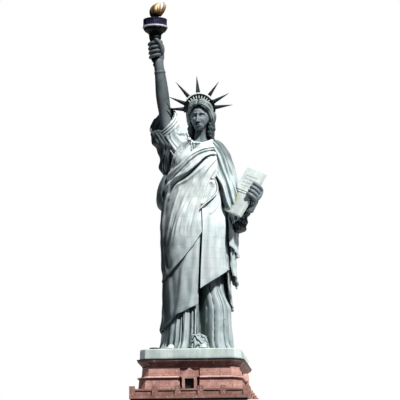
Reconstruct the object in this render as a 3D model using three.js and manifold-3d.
// A shelf-size landmark model: a robed, crowned figure that lifts a torch and carries a tablet, screwed to a
// cast stone pedestal. Every casting is its own mesh. Millimetres, +Z up, the front faces -Y, and the origin is
// the centre of the felt pad's underside.
import * as THREE from "three";
import { mergeVertices } from "three/addons/utils/BufferGeometryUtils.js";
import Module from "manifold-3d";

const wasm = await Module();
wasm.setup();

// ---------------------------------------------------------------- driving dimensions
const GAP = 0.3; // between castings that lie on each other's curved faces
const GALLERY_HALF = 42.4; // the balcony, half its width
const PARAPET_THICK = 3;
const PIER_WIDTH = 3.8;
const BAYS = 5;

// Heights of the pedestal's courses, from the table up.
const Z_FELT = 1.2;
const Z_COURSE = 3;
const Z_DECK = 4.6;
const Z_PARAPET = 8.2;
const Z_PIER = 10.2;
const Z_WALL = 16.4;
const Z_STRING = 18;
const Z_ATTIC = 24.7;
const Z_CORNICE = 29.5;
const Z_FLASHING = 30.2;
const Z_PLINTH = 37.5;

// Half widths of the courses that the corners are cut from, and how much each corner loses.
const WALL_HALF = 37;
const ATTIC_HALF = 35;
const CORNICE_HALF = 38;
const PLINTH_HALF = 36.2;
const WALL_CHAMFER = 5.4;
const CORNICE_CHAMFER = 7;
const PLINTH_CHAMFER = 4.2;

// The doorway in the middle of each side.
const DOOR_HALF = 3.3;
const DOOR_TOP = 15.8;
const SURROUND_HALF = 6.8;
const SURROUND_EAVES = 18.2;
const SURROUND_APEX = 23.4;
const SURROUND_FACE = 38.6;
const SURROUND_BACK = 34;

// The bolt that ties the figure to the pedestal.
const ROD_RADIUS = 2.4;
const ROD_BORE = 2.8;
const ROD_BOTTOM = 1.6;
const ROD_TOP = 96;

// The figure: height of the robe's hem, of the belt under the cloak, and of the neck opening.
const Z_HEM = Z_PLINTH;
const Z_BELT = 165;
const Z_COLLAR = 199.5;
const SKIRT_INSET = 4.9; // the under-robe lies this far inside the cloak
const CLOAK_THICK = 1.7;

// Torch, crown and tablet.
const TORCH_X = -29.2;
const TORCH_Y = -3;
const HEAD = new THREE.Vector3(4.6, -4, 214);
const CROWN = new THREE.Vector3(3.9, -5, 217.5);
const CROWN_RADIUS = 10.6;
const CROWN_LEAN = 8; // degrees that the crown's fan leans forward
const RAY_LENGTH = 12.6;
const RAY_SPREAD = [-88, -67, -40, 0, 40, 67, 88]; // degrees from the middle ray
const TABLET = { long: 37.4, wide: 21.5, thick: 3.4, at: new THREE.Vector3(37.4, -14, 153.6) };

const rad = THREE.MathUtils.degToRad;
const lerp = THREE.MathUtils.lerp;

// ---------------------------------------------------------------- solids and booleans
// A geometry as a manifold solid with its faces outward.
function solid(geometry) {
  const bare = geometry.clone();
  bare.deleteAttribute("normal");
  bare.deleteAttribute("uv");
  const merged = mergeVertices(bare, 1e-4);
  const triVerts = new Uint32Array(merged.index.array);
  const vertProperties = merged.attributes.position.array;
  const made = new wasm.Manifold(new wasm.Mesh({ numProp: 3, vertProperties, triVerts }));
  if (made.volume() > 0) return made;
  for (let i = 0; i < triVerts.length; i += 3) {
    [triVerts[i + 1], triVerts[i + 2]] = [triVerts[i + 2], triVerts[i + 1]];
  }
  return new wasm.Manifold(new wasm.Mesh({ numProp: 3, vertProperties, triVerts }));
}

// The largest body of a manifold solid as a three.js geometry. Slivers that a cut leaves behind are dropped.
function geometryOf(made) {
  const bodies = made.decompose();
  bodies.sort((a, b) => b.volume() - a.volume());
  const mesh = bodies[0].getMesh();
  const points = new Float32Array(mesh.numVert * 3);
  for (let i = 0; i < mesh.numVert; i++) {
    points.set(mesh.vertProperties.subarray(i * mesh.numProp, i * mesh.numProp + 3), i * 3);
  }
  const geometry = new THREE.BufferGeometry();
  geometry.setAttribute("position", new THREE.BufferAttribute(points, 3));
  geometry.setIndex(new THREE.BufferAttribute(mesh.triVerts, 1));
  geometry.computeVertexNormals();
  return geometry;
}

function union(...solids) {
  return solids.reduce((sum, next) => sum.add(next));
}

// What is left of a solid once the seats of its neighbours are cut out of it. A seat is the neighbour's own
// shape, made bigger by GAP.
function carved(made, ...seats) {
  return seats.reduce((left, seat) => left.subtract(seat), made);
}

const wider = (stops, gap = GAP) => stops.map(([x, y, z, radius]) => [x, y, z, radius + gap]);

function box(x0, x1, y0, y1, z0, z1) {
  const geometry = new THREE.BoxGeometry(x1 - x0, y1 - y0, z1 - z0);
  return solid(geometry.translate((x0 + x1) / 2, (y0 + y1) / 2, (z0 + z1) / 2));
}

function rod(radius, z0, z1, x = 0, y = 0, sides = 24) {
  const geometry = new THREE.CylinderGeometry(radius, radius, z1 - z0, sides).rotateX(Math.PI / 2);
  return solid(geometry.translate(x, y, (z0 + z1) / 2));
}

// A turned piece on a vertical axis: outline is [radius, height] from the bottom of the axis to its top.
function turned(outline, x, y, sides = 24) {
  const points = outline.map(([radius, height]) => new THREE.Vector2(radius, height));
  return solid(new THREE.LatheGeometry(points, sides).rotateX(Math.PI / 2).translate(x, y, 0));
}

function ellipsoid(x, y, z, rx, ry, rz, sides = 16) {
  const geometry = new THREE.SphereGeometry(1, sides, Math.round(sides * 0.6)).rotateX(Math.PI / 2);
  return solid(geometry.scale(rx, ry, rz).translate(x, y, z));
}

// A round limb of changing radius along a smooth curve, with flat ends. Each stop is [x, y, z, radius].
function limb(stops, sides = 12, steps = 7) {
  const curve = new THREE.CatmullRomCurve3(stops.map(([x, y, z]) => new THREE.Vector3(x, y, z)));
  const geometry = new THREE.CylinderGeometry(1, 1, 1, sides, steps);
  const position = geometry.attributes.position;
  const away = new THREE.Vector3(0, 1, 0.01).normalize();
  for (let i = 0; i < position.count; i++) {
    const t = position.getY(i) + 0.5;
    const centre = curve.getPoint(t);
    const along = curve.getTangent(t);
    const side = new THREE.Vector3().crossVectors(along, away).normalize();
    const other = new THREE.Vector3().crossVectors(along, side).normalize();
    const at = t * (stops.length - 1);
    const low = Math.min(Math.floor(at), stops.length - 2);
    const radius = lerp(stops[low][3], stops[low + 1][3], at - low);
    centre.addScaledVector(side, position.getX(i) * radius);
    centre.addScaledVector(other, position.getZ(i) * radius);
    position.setXYZ(i, centre.x, centre.y, centre.z);
  }
  return solid(geometry);
}

// ---------------------------------------------------------------- blocks with cut corners
// A square block with cut corners. Each stop is [height, half width].
function block(stops, chamfer) {
  const geometry = new THREE.CylinderGeometry(1, 1, 1, 8, stops.length - 1);
  const position = geometry.attributes.position;
  for (let i = 0; i < position.count; i++) {
    const [x, y, z] = [position.getX(i), position.getY(i), position.getZ(i)];
    const [height, half] = stops[Math.round((y + 0.5) * (stops.length - 1))];
    const corner = Math.round(Math.atan2(x, z) / (Math.PI / 4) + 8) % 8;
    const short = half - chamfer;
    const across = [short, half, half, short, -short, -half, -half, -short][corner];
    const back = [-half, -short, short, half, half, short, -short, -half][corner];
    const onAxis = Math.hypot(x, z) < 0.5;
    position.setXYZ(i, onAxis ? 0 : across, onAxis ? 0 : back, height);
  }
  return solid(geometry);
}

// ---------------------------------------------------------------- the robed body
// Sections of the draped body, from the hem to the collar: [height, centre x, centre y, half width, half depth].
const BODY = [
  [37.5, 1.6, -1, 27.6, 25],
  [52, 1.6, -1, 25.6, 23],
  [75, 1.2, 0, 24.6, 21.6],
  [100, 1.4, 0, 24.6, 21.6],
  [128, 1.4, 0, 25.4, 22],
  [145, 1, 0, 24, 20.6],
  [160, 0.8, 0, 22, 18.2],
  [172, 0.6, -1, 20.4, 16.6],
  [182, 0.3, -1, 18.4, 15],
  [190, 0.6, 0, 15.4, 12.6],
  [196, 2.6, 0, 10.6, 9.6],
  [199.5, 3.9, 0, 6.6, 6.6],
];
const SQUARENESS = 2.3; // 2 is an ellipse, and more is squarer

// A section between the stations, on a smooth curve through them.
function section(height) {
  const last = BODY.length - 1;
  const z = THREE.MathUtils.clamp(height, BODY[0][0], BODY[last][0]);
  let i = BODY.findIndex((row, k) => k < last && z <= BODY[k + 1][0]);
  i = Math.max(i, 0);
  const [a, b] = [BODY[i], BODY[i + 1]];
  const before = BODY[Math.max(i - 1, 0)];
  const after = BODY[Math.min(i + 2, last)];
  const span = b[0] - a[0];
  const t = (z - a[0]) / span;
  return [1, 2, 3, 4].map((k) => {
    const slopeA = ((b[k] - before[k]) / (b[0] - before[0])) * span;
    const slopeB = ((after[k] - a[k]) / (after[0] - a[0])) * span;
    const rise = a[k] * (2 * t ** 3 - 3 * t ** 2 + 1) + b[k] * (3 * t ** 2 - 2 * t ** 3);
    return rise + slopeA * (t ** 3 - 2 * t ** 2 + t) + slopeB * (t ** 3 - t ** 2);
  });
}

// A point on the body, out from its surface by offset. The angle is 0 in front and 90 at +X, in degrees.
function onBody(angle, height, offset) {
  const [cx, cy, wide, deep] = section(height);
  const [s, c] = [Math.sin(rad(angle)), -Math.cos(rad(angle))];
  const sum = (Math.abs(s) / wide) ** SQUARENESS + (Math.abs(c) / deep) ** SQUARENESS;
  const radius = Math.max(sum ** (-1 / SQUARENESS) + offset, 0.5);
  return [cx + radius * s, cy + radius * c, height];
}

// The whole way round the body between two heights. offset is a function of angle and height.
function bodySolid(z0, z1, offset, sides, rings) {
  const geometry = new THREE.CylinderGeometry(1, 1, 1, sides, rings);
  const position = geometry.attributes.position;
  for (let i = 0; i < position.count; i++) {
    const [x, z] = [position.getX(i), position.getZ(i)];
    const height = lerp(z0, z1, position.getY(i) + 0.5);
    const angle = THREE.MathUtils.radToDeg(Math.atan2(x, z));
    const rim = onBody(angle, height, offset(angle, height));
    const [cx, cy] = section(height);
    const onAxis = Math.hypot(x, z) < 0.5;
    position.setXYZ(i, onAxis ? cx : rim[0], onAxis ? cy : rim[1], height);
  }
  return solid(geometry);
}

// A panel of cloth that lies over the body. top and hem are functions of the angle.
function panel(from, to, top, hem, inner, outer, columns, rows) {
  const geometry = new THREE.BoxGeometry(1, 1, 1, columns, rows, 1);
  const position = geometry.attributes.position;
  for (let i = 0; i < position.count; i++) {
    const angle = lerp(from, to, position.getX(i) + 0.5);
    const height = lerp(hem(angle), top(angle), position.getY(i) + 0.5);
    const offset = lerp(inner, outer, position.getZ(i) + 0.5);
    position.setXYZ(i, ...onBody(angle, height, offset));
  }
  return solid(geometry);
}

// A function of the angle that joins [angle, height] points by straight lines.
function line(...points) {
  return (angle) => {
    const i = points.findIndex((point, k) => k > 0 && angle <= point[0]);
    const k = i < 0 ? points.length - 1 : i;
    const [a, b] = [points[k - 1], points[k]];
    return lerp(a[1], b[1], THREE.MathUtils.clamp((angle - a[0]) / (b[0] - a[0]), 0, 1));
  };
}

// ---------------------------------------------------------------- materials
const finish = (name, color, roughness, metalness) =>
  new THREE.MeshStandardMaterial({ name, color, roughness, metalness });
const verdigris = finish("verdigris", 0xb7c9bd, 0.7, 0.1);
const darkBronze = finish("dark_bronze", 0x2a2f3a, 0.55, 0.4);
const giltFlame = finish("gilt", 0xb98a3c, 0.3, 1);
const pinkStone = finish("pink_stone", 0xb9837a, 0.9, 0);
const paleStone = finish("pale_stone", 0xc9bfb0, 0.85, 0);
const doorBlack = finish("door_black", 0x16171a, 0.6, 0.2);
const steel = finish("steel", 0x8f9499, 0.35, 1);
const felt = finish("felt", 0x3a3f3a, 1, 0);

const model = new THREE.Group();

function place(name, made, material) {
  const mesh = new THREE.Mesh(geometryOf(made), material);
  mesh.name = name;
  model.add(mesh);
  return made;
}

// ---------------------------------------------------------------- pedestal
const SIDES = [["front", 0], ["right", 90], ["back", 180], ["left", 270]];
const turn = (made, degrees) => made.rotate([0, 0, degrees]);
const boreThrough = (z0, z1) => rod(ROD_BORE, z0, z1);

function feltPad() {
  const half = GALLERY_HALF - 0.8;
  return box(-half, half, -half, half, 0, Z_FELT);
}

// The bottom course, with a pocket for the nut and washer.
function groundCourse() {
  const slab = box(-GALLERY_HALF, GALLERY_HALF, -GALLERY_HALF, GALLERY_HALF, Z_FELT, Z_COURSE);
  return slab.subtract(rod(7, 0, 4));
}

// One side of the parapet: a wall with sunk panels between piers. The front and back walls hold the corner piers.
function parapetWall(withCorners) {
  const outer = -GALLERY_HALF;
  const inner = outer + PARAPET_THICK;
  const reach = withCorners ? GALLERY_HALF : GALLERY_HALF - PARAPET_THICK - 0.9;
  let wall = box(-reach, reach, outer + 0.4, inner, Z_COURSE, Z_PARAPET);
  const bay = (2 * GALLERY_HALF - PIER_WIDTH) / BAYS;
  for (let i = 0; i < BAYS; i++) {
    const middle = (i - (BAYS - 1) / 2) * bay;
    const half = (bay - PIER_WIDTH) / 2 - 0.4;
    const sunk = box(middle - half, middle + half, outer - 1, outer + 1, Z_COURSE + 0.9, Z_PARAPET - 1.2);
    wall = wall.subtract(sunk);
  }
  for (let i = 0; i <= BAYS; i++) {
    const corner = i === 0 || i === BAYS;
    if (corner && !withCorners) continue;
    const x = (i - BAYS / 2) * bay;
    const depth = corner ? PIER_WIDTH : PARAPET_THICK;
    const pier = box(x - PIER_WIDTH / 2, x + PIER_WIDTH / 2, outer, outer + depth, Z_COURSE, Z_PIER);
    wall = wall.add(pier);
  }
  return wall;
}

function balconyDeck() {
  const half = GALLERY_HALF - PARAPET_THICK - 1;
  return box(-half, half, -half, half, Z_COURSE, Z_DECK).subtract(boreThrough(0, 6));
}

// The gabled frame round a doorway, on the front side.
function doorSurround() {
  const outline = new THREE.Shape();
  outline.moveTo(-SURROUND_HALF + 1.6, Z_DECK);
  outline.lineTo(SURROUND_HALF - 1.6, Z_DECK);
  outline.lineTo(SURROUND_HALF - 1.6, SURROUND_EAVES - 2);
  outline.lineTo(SURROUND_HALF, SURROUND_EAVES - 1);
  outline.lineTo(SURROUND_HALF, SURROUND_EAVES);
  outline.lineTo(0, SURROUND_APEX);
  outline.lineTo(-SURROUND_HALF, SURROUND_EAVES);
  outline.lineTo(-SURROUND_HALF, SURROUND_EAVES - 1);
  outline.lineTo(-SURROUND_HALF + 1.6, SURROUND_EAVES - 2);
  const depth = SURROUND_FACE - SURROUND_BACK;
  const geometry = new THREE.ExtrudeGeometry(outline, { depth, bevelEnabled: false });
  const body = solid(geometry.rotateX(Math.PI / 2).translate(0, -SURROUND_BACK, 0));
  const opening = box(-DOOR_HALF, DOOR_HALF, -SURROUND_FACE - 1, -SURROUND_BACK + 1, 0, DOOR_TOP);
  return body.subtract(opening);
}

function doorLeaf() {
  const half = DOOR_HALF - 0.2;
  const leaf = box(-half, half, -SURROUND_BACK - 1.5, -SURROUND_BACK - 0.3, Z_DECK, DOOR_TOP - 0.2);
  const knob = box(half - 1.2, half - 0.7, -SURROUND_BACK - 1.8, -SURROUND_BACK - 1, 10, 10.6);
  return leaf.add(knob);
}

// The room that a door surround takes out of the walls behind it.
function surroundSeat() {
  const half = SURROUND_HALF + GAP;
  return box(-half, half, -45, -SURROUND_BACK + GAP, Z_DECK - 1, SURROUND_APEX + GAP);
}

function buildPedestal() {
  place("felt_pad", feltPad(), felt);
  place("ground_course", groundCourse(), pinkStone);
  for (const [side, degrees] of SIDES) {
    const withCorners = side === "front" || side === "back";
    place("parapet_" + side, turn(parapetWall(withCorners), degrees), pinkStone);
  }
  place("balcony_deck", balconyDeck(), paleStone);

  const seats = union(...SIDES.map(([, degrees]) => turn(surroundSeat(), degrees)));
  const ballastPocket = rod(26.4, 0, 11.4, 0, 0, 40);
  const wall = block([[Z_DECK, WALL_HALF + 0.6], [Z_WALL, WALL_HALF - 0.4]], WALL_CHAMFER);
  place("attic_wall_lower", wall.subtract(seats).subtract(ballastPocket).subtract(boreThrough(0, 40)), pinkStone);
  const string = block([[Z_WALL, WALL_HALF + 0.9], [Z_WALL + 0.7, WALL_HALF + 0.9], [Z_STRING, ATTIC_HALF]], WALL_CHAMFER);
  place("string_course", string.subtract(seats).subtract(boreThrough(0, 40)), paleStone);
  const attic = block([[Z_STRING, ATTIC_HALF], [Z_ATTIC, ATTIC_HALF - 0.4]], WALL_CHAMFER);
  place("attic_wall_upper", attic.subtract(seats).subtract(boreThrough(0, 40)), pinkStone);

  for (const [side, degrees] of SIDES) {
    place("door_surround_" + side, turn(doorSurround(), degrees), pinkStone);
    place("door_" + side, turn(doorLeaf(), degrees), doorBlack);
  }

  const cove = [[Z_ATTIC, ATTIC_HALF - 0.2], [25.6, 35.2], [26.6, 35.8], [27.6, 36.8], [28.2, 37.8], [Z_CORNICE, CORNICE_HALF]];
  place("cornice", block(cove, CORNICE_CHAMFER).subtract(boreThrough(0, 40)), pinkStone);
  const sheet = block([[Z_CORNICE, CORNICE_HALF + 0.4], [Z_FLASHING, CORNICE_HALF + 0.4]], CORNICE_CHAMFER);
  place("cornice_flashing", sheet.subtract(boreThrough(0, 40)), verdigris);
  const plinthStops = [[Z_FLASHING, PLINTH_HALF], [Z_PLINTH - 0.6, PLINTH_HALF - 0.2], [Z_PLINTH, PLINTH_HALF - 0.8]];
  place("statue_plinth", block(plinthStops, PLINTH_CHAMFER).subtract(boreThrough(0, 40)), verdigris);
}

// The rod, its nut and washer under the pedestal, and the steel ballast round it.
function buildFixings() {
  const nutTop = Z_COURSE - 0.3;
  place("tie_rod", rod(ROD_RADIUS, ROD_BOTTOM, ROD_TOP), steel);
  place("tie_washer", rod(6, nutTop - 0.5, nutTop, 0, 0, 32).subtract(rod(ROD_BORE, 0, 5)), steel);
  place("tie_nut", rod(4.4, Z_FELT + 0.1, nutTop - 0.5, 0, 0, 6).subtract(rod(ROD_RADIUS + 0.2, 0, 5)), steel);
  place("ballast_plate", rod(26, Z_DECK, 10.6, 0, 0, 40).subtract(rod(ROD_BORE, 0, 20)), steel);
}

// ---------------------------------------------------------------- robe and cloak
const PLEATS = 15;
function pleat(angle, height) {
  const depth = 0.9 * THREE.MathUtils.smoothstep(112 - height, 0, 22);
  return -SKIRT_INSET + depth * Math.cos(rad(angle * PLEATS));
}

// The cloak's cloth lies in two layers over the robe. A layer is its inner and outer offset from the body.
const layer = (n) => {
  const inner = -SKIRT_INSET + 1.2 + n * (CLOAK_THICK + GAP);
  return [inner, inner + CLOAK_THICK];
};

const SASH_TOP = line([-62, 180], [52, 194]);
const SASH_HEM = line([-62, 170], [52, 184]);

// The outside of the dressed body with clearance: what sleeves and drapes are cut back to.
function bodySeat() {
  const sash = panel(-63, 53, (a) => SASH_TOP(a) + 1, (a) => SASH_HEM(a) - 1, -1, 2, 12, 1);
  const lower = bodySolid(Z_HEM, Z_BELT + 1, () => GAP + 0.4, 48, 8);
  const upper = bodySolid(Z_BELT + GAP, Z_COLLAR, () => GAP, 30, 7);
  return union(lower, upper, sash);
}

function buildRobe() {
  const skirt = bodySolid(Z_HEM, Z_BELT, pleat, 60, 7).subtract(rod(ROD_BORE, Z_HEM - 1, ROD_TOP + 1));
  place("robe_skirt", skirt, verdigris);

  const underHem = line([-62, 60], [-30, 65], [13, 73.5]);
  place("cloak_underfold", panel(-62, 13, () => 128, underHem, ...layer(0), 10, 4), verdigris);
  const rightHem = line([16, 82.5], [84, 95]);
  const fallRight = panel(16, 84, () => Z_BELT - 1, rightHem, ...layer(1), 9, 5);
  place("cloak_fall_right", carved(fallRight, tabletSolid(GAP)), verdigris);
  const leftHem = line([-200, 78], [-110, 82], [-45, 94], [15.4, 123]);
  place("cloak_fall_left", panel(-200, 15.4, () => Z_BELT - 1, leftHem, ...layer(1), 24, 5), verdigris);
  const sideHem = line([84.5, 97], [104, 74], [118, 90], [159, 78]);
  place("cloak_side_fall", panel(84.5, 159, () => Z_BELT - 1, sideHem, ...layer(1), 12, 5), verdigris);

  const neckSocket = rod(4.9, 193, 205, HEAD.x - 0.3, -1.2, 16);
  const torso = carved(bodySolid(Z_BELT + GAP, Z_COLLAR, () => -0.2, 30, 7), neckSocket, headSolid(GAP));
  place("robe_bodice", torso, verdigris);
  place("cloak_sash", panel(-62, 52, SASH_TOP, SASH_HEM, 0.3, 1.7, 16, 2), verdigris);
}

// The cloak's rolled edge on the hip, the cloak over the left arm, and the wide sleeve of the raised arm.
const ARM = [[-19.5, 0, 196, 5.2], [-22.4, 0, 222, 4.5], [-25, 0, 237.6, 5.4], [-26.4, -0.6, 250, 3.9]];

function buildDrapes() {
  const seat = bodySeat();
  const roll = (gap) => ellipsoid(-23.6, 3, 158, 4.8 + gap, 12 + gap, 15.5 + gap);
  place("cloak_hip_roll", carved(roll(0), seat), verdigris);
  place("raised_arm", limb(ARM), verdigris);
  const sleeve = union(
    limb([[-9, 1, 181, 11], [-17, 1, 194, 11.6], [-24.9, 0, 213.4, 10.4]], 16, 5),
    ellipsoid(-21.4, 2, 184, 7.4, 9.6, 13),
  );
  const mouth = limb([[-20.4, 0, 202, 7.4], [-26.4, 0, 218, 9.2]], 14, 2);
  place("raised_sleeve", carved(sleeve, mouth, seat, limb(wider(ARM)), roll(GAP)), verdigris);

  const hand = tabletHand(0).subtract(tabletSolid(GAP));
  place("tablet", tabletSolid(0), verdigris);
  place("tablet_hand", hand, verdigris);
  const shoulder = limb([[11, 1, 189, 8], [20, 2, 172, 9.4], [27, 3, 152, 10], [34, 0, 137, 7], [43, -9, 142, 5]], 14, 9);
  const hang = ellipsoid(31.5, 2, 134, 7, 9, 10);
  place("cloak_left_arm", carved(union(shoulder, hang), seat, tabletSolid(GAP), tabletHand(GAP)), verdigris);
}

// ---------------------------------------------------------------- tablet and the hand on it
// Axes of the tablet: its length runs up and out, its width runs out to the hand, and face is its front.
const UP = new THREE.Vector3(0.503, 0.135, 0.853).normalize();
const FACE = new THREE.Vector3(-0.54, -0.722, 0.433).normalize();
const WIDE = new THREE.Vector3().crossVectors(UP, FACE).normalize();

const TABLET_AXES = new THREE.Matrix4().makeBasis(WIDE, UP, FACE).setPosition(TABLET.at);

const inTablet = (geometry) => geometry.applyMatrix4(TABLET_AXES);

function tabletSolid(gap) {
  const { wide, long, thick } = TABLET;
  return solid(inTablet(new THREE.BoxGeometry(wide + 2 * gap, long + 2 * gap, thick + 2 * gap)));
}

// A palm behind the tablet's outer edge, with four fingers that come round onto its face.
function tabletHand(gap) {
  const edge = TABLET.wide / 2;
  const back = -TABLET.thick / 2;
  const palm = new THREE.SphereGeometry(1, 12, 8).scale(4.4 + gap, 6.4 + gap, 2.6 + gap);
  palm.translate(edge - 0.6, 1.5, back - 2.2);
  let hand = solid(inTablet(palm));
  for (let i = 0; i < 4; i++) {
    const y = 6 - i * 2.9;
    const stops = [[edge + 1.4, back - 2], [edge + 2.6, 0.2], [edge - 0.6, -back + 1.5], [edge - 5.6 + 0.5 * i, -back + 1.3]];
    const joints = stops.map(([x, z]) => new THREE.Vector3(x, y, z).applyMatrix4(TABLET_AXES));
    hand = hand.add(limb(joints.map((p) => [p.x, p.y, p.z, 1.25 + gap]), 6, 5));
  }
  return hand;
}

// ---------------------------------------------------------------- torch
const HANDLE = [[1.1, 251.2], [1.6, 252.6], [1.2, 253.6], [2.6, 255.4], [2.9, 262], [3.7, 268], [4.8, 275.6]];

function handleSolid(gap) {
  const side = HANDLE.map(([radius, height]) => [radius + gap, height]);
  return turned([[0, 250.6 - gap], ...side, [0, 275.6]], TORCH_X, TORCH_Y, 16);
}

function buildTorch() {
  place("torch_handle", handleSolid(0), darkBronze);
  const fist = union(
    ellipsoid(TORCH_X + 3.4, TORCH_Y + 1.4, 260, 4.6, 4.4, 8, 12),
    ellipsoid(TORCH_X + 3, TORCH_Y + 2, 252.4, 3.6, 3.4, 4.4, 10),
  );
  let hand = fist;
  for (let i = 0; i < 4; i++) {
    const z = 268.5 - i * 3.25;
    const grip = 5 - 0.32 * i;
    const stops = [80, 20, -40, -100, -150].map((degrees) => [
      TORCH_X + grip * Math.cos(rad(degrees)),
      TORCH_Y + grip * Math.sin(rad(degrees)),
      z,
      1.5,
    ]);
    hand = hand.add(limb(stops, 6, 6));
  }
  place("raised_hand", carved(hand, handleSolid(GAP), limb(wider(ARM))), verdigris);

  const cup = [[0, 275.8], [5.6, 275.8], [7.4, 276.6], [8.6, 278.2], [8.8, 279.6], [0, 279.6]];
  place("torch_cup", turned(cup, TORCH_X, TORCH_Y), darkBronze);
  const floor = [[0, 279.6], [9, 279.6], [9.2, 280.2], [8.9, 281], [0, 281]];
  place("torch_gallery_floor", turned(floor, TORCH_X, TORCH_Y), darkBronze);
  place("torch_railing", railing(), darkBronze);
  const flame = flameSolid();
  const collar = [[0, 281.3], [3.9, 281.3], [3.9, 284], [3.4, 286.6], [0, 286.6]];
  place("flame_collar", turned(collar, TORCH_X + 0.2, TORCH_Y, 24), darkBronze);
  place("flame", flame, giltFlame);
}

// The gallery's railing: posts between a foot ring and a hand rail, in one casting.
function railing() {
  const radius = 8.3;
  const ring = (z, thick) => {
    const outline = [[radius - thick, z], [radius + thick, z], [radius + thick, z + 0.7], [radius - thick, z + 0.7], [radius - thick, z]];
    const points = outline.map(([r, h]) => new THREE.Vector2(r, h));
    return solid(new THREE.LatheGeometry(points, 24).rotateX(Math.PI / 2).translate(TORCH_X, TORCH_Y, 0));
  };
  let made = union(ring(281.2, 0.5), ring(285.7, 0.6));
  for (let i = 0; i < 18; i++) {
    const angle = (i / 18) * 2 * Math.PI;
    const [x, y] = [TORCH_X + radius * Math.cos(angle), TORCH_Y + radius * Math.sin(angle)];
    made = made.add(rod(0.45, 281.5, 286, x, y, 4));
  }
  return made;
}

// A flame that leans and ends in a point, with a second tongue that curls on its right.
function flameSolid() {
  const x = TORCH_X + 0.4;
  const main = limb([[x, TORCH_Y, 287.7, 3.2], [x - 0.6, TORCH_Y, 290.5, 4.3], [x + 0.6, TORCH_Y, 294.5, 3.1], [x + 3, TORCH_Y, 300, 0.15]], 14, 8);
  const tongue = limb([[x + 2, TORCH_Y, 289, 1.8], [x + 4.6, TORCH_Y, 293, 1.7], [x + 6.6, TORCH_Y, 297, 1.3], [x + 5.6, TORCH_Y, 299.2, 0.3]], 8, 7);
  return main.add(tongue);
}

// ---------------------------------------------------------------- head and crown
const NECK = [[HEAD.x - 0.4, -0.8, 193.4, 3.8], [HEAD.x - 0.2, -1.6, 200, 4], [HEAD.x, -2.6, 206, 4.4]];

// The head, or with a gap the seat for it.
function headSolid(gap) {
  const skull = ellipsoid(HEAD.x, HEAD.y + 1, HEAD.z + 3.4, 7.4 + gap, 8.2 + gap, 8.6 + gap, 18);
  const jaw = ellipsoid(HEAD.x, HEAD.y - 2, HEAD.z - 6, 5.2 + gap, 5.4 + gap, 7.4 + gap, 14);
  return union(limb(wider(NECK, gap), 12, 3), skull, jaw);
}

function hairSolid(gap) {
  const cap = ellipsoid(HEAD.x, HEAD.y + 2.2, HEAD.z + 2.6, 9.6 + gap, 9.4 + gap, 10.4 + gap, 18);
  const knot = ellipsoid(HEAD.x, HEAD.y + 11, HEAD.z - 1, 4.6 + gap, 5 + gap, 5.4 + gap, 10);
  const lock = (side) => {
    const top = [HEAD.x + side * 7.6, HEAD.y + 1.6, HEAD.z - 2, 2.6 + gap];
    return limb([top, [HEAD.x + side * 8, HEAD.y + 3.4, HEAD.z - 11, 1.8 + gap]], 8, 2);
  };
  return union(cap, knot, lock(1), lock(-1));
}

function buildHead() {
  const nose = limb([[HEAD.x, HEAD.y - 6.4, HEAD.z + 1.8, 0.7], [HEAD.x, HEAD.y - 8.2, HEAD.z - 3.4, 1.1]], 6, 2);
  place("head", headSolid(0).add(nose), verdigris);
  const face = ellipsoid(HEAD.x, HEAD.y - 9, HEAD.z - 4, 6.4, 7.4, 11, 14);
  place("hair", carved(hairSolid(0), face, headSolid(GAP)), verdigris);

  place("crown_band", carved(crownBand(), hairSolid(GAP), headSolid(GAP)), darkBronze);
  RAY_SPREAD.forEach((spread, i) => place("crown_ray_" + (i + 1), crownRay(spread), verdigris));
}

// Puts a solid made round the origin, with +Y as the crown's middle ray, in the crown's leaning plane.
function inCrown(geometry, spread) {
  geometry.rotateZ(rad(-spread)).rotateX(rad(90 + CROWN_LEAN));
  return geometry.translate(CROWN.x, CROWN.y, CROWN.z);
}

// The band is a half hoop that stands over the forehead from ear to ear.
function crownBand() {
  const outline = new THREE.Shape();
  outline.absarc(0, 0, CROWN_RADIUS + 1, rad(-8), rad(188), false);
  outline.absarc(0, 0, CROWN_RADIUS - 2.4, rad(188), rad(-8), true);
  const geometry = new THREE.ExtrudeGeometry(outline, { depth: 4.4, bevelEnabled: false, curveSegments: 22 });
  return solid(inCrown(geometry.translate(0, 0, -2.2), 0));
}

function crownRay(spread) {
  const geometry = new THREE.CylinderGeometry(0.12, 1.25, RAY_LENGTH, 4).rotateY(Math.PI / 4);
  geometry.scale(1, 1, 0.7).translate(0, CROWN_RADIUS + 1 + GAP + RAY_LENGTH / 2, 0);
  return solid(inCrown(geometry, spread));
}

// ---------------------------------------------------------------- what lies on the plinth
function buildFeet() {
  const onPlinth = box(-60, 60, -60, 60, 20, Z_PLINTH);
  const shoe = (x, y, length) => {
    const sole = ellipsoid(x, y, Z_PLINTH + 0.6, 3.6, length, 3.6, 12);
    return sole.subtract(onPlinth);
  };
  const robeSeat = bodySolid(Z_HEM - 1, Z_BELT, (angle, height) => pleat(angle, height) + GAP, 60, 7);
  place("left_foot", carved(shoe(8, -24, 6.4), robeSeat), verdigris);
  place("right_foot", carved(shoe(-15, -22, 6), robeSeat), verdigris);
  const link = (x, y, angle) => {
    const torus = new THREE.TorusGeometry(2.2, 0.7, 6, 14).scale(1.5, 1, 1).rotateZ(rad(angle));
    return solid(torus.translate(x, y, Z_PLINTH + 0.72));
  };
  place("chain_link_1", link(-28.2, -15, 75), verdigris);
  place("chain_link_2", link(-28.6, -5.8, 100), verdigris);
  const cuff = new THREE.TorusGeometry(3, 1.1, 6, 16).translate(-26.6, -24.4, Z_PLINTH + 1.12);
  place("broken_shackle", solid(cuff), verdigris);
}

buildPedestal();
buildFixings();
buildRobe();
buildDrapes();
buildTorch();
buildHead();
buildFeet();

export default model;
